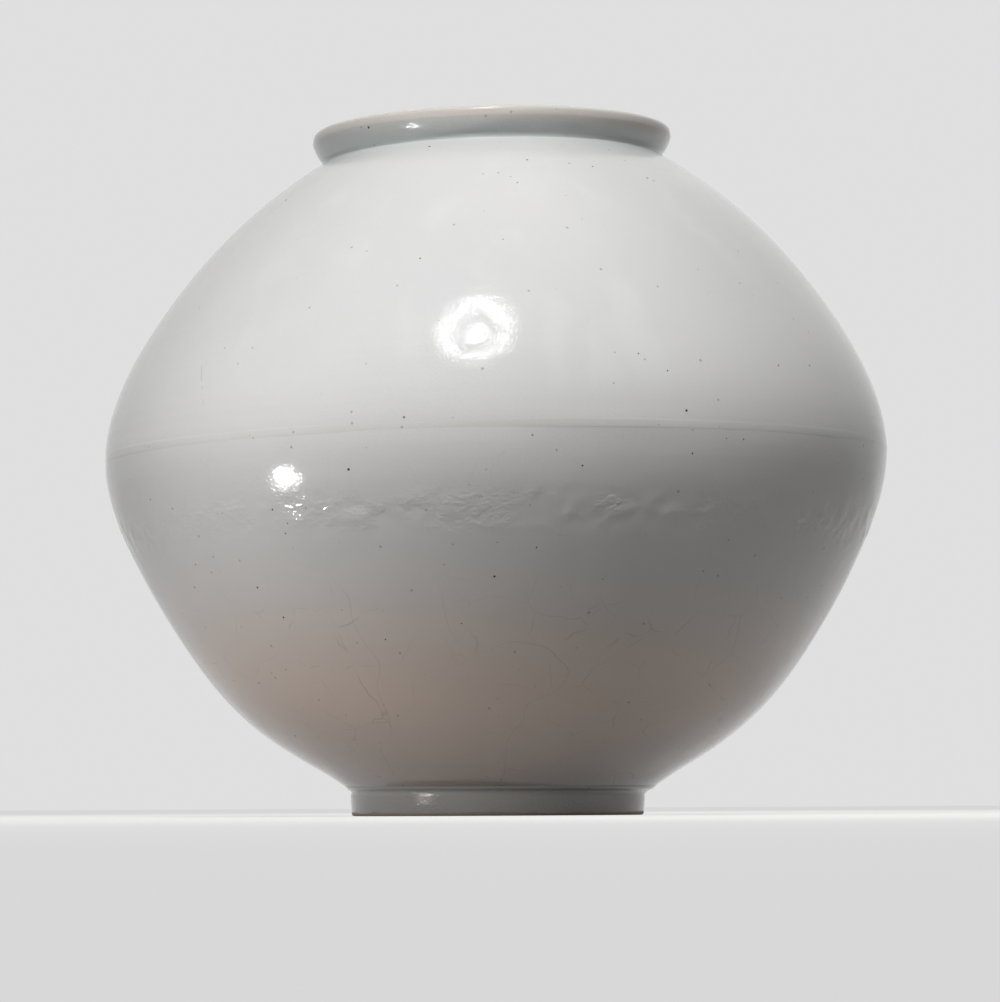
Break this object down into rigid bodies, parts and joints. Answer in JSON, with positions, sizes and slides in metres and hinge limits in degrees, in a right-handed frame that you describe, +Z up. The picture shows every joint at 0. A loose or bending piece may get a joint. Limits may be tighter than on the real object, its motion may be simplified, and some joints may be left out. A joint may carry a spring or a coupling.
{
  "type": "korean moon jar",
  "caption": "Free-standing white porcelain moon jar: two thrown bowls luted at the belly, a turned foot ring and a flared mouth rim.",
  "frame": {"origin": "centre of the foot ring on the surface that the jar stands on", "axes": "+Z up through the mouth; seen from the picture's side, +X is to the right and +Y points away from the viewer; the jar leans a little towards -X"},
  "size_m": [0.4621, 0.462, 0.4068],
  "materials": {
    "glazed_porcelain_lower": "clear feldspar glaze, soft gloss, faint crackle, warm tinge",
    "glazed_porcelain_upper": "clear feldspar glaze, soft gloss, faint blue-green tinge, iron specks",
    "luting_slip": "slip of the same clay under the same glaze",
    "foot_porcelain": "glazed sides, bare gritty standing edge",
    "rim_porcelain": "glazed, thin and speckled on its upper edge"
  },
  "bodies": {
    "root": {"lower_bowl": "glazed_porcelain_lower", "upper_bowl": "glazed_porcelain_upper", "belly_luting": "luting_slip", "foot_ring": "foot_porcelain", "mouth_rim": "rim_porcelain"}
  },
  "joints": []
}
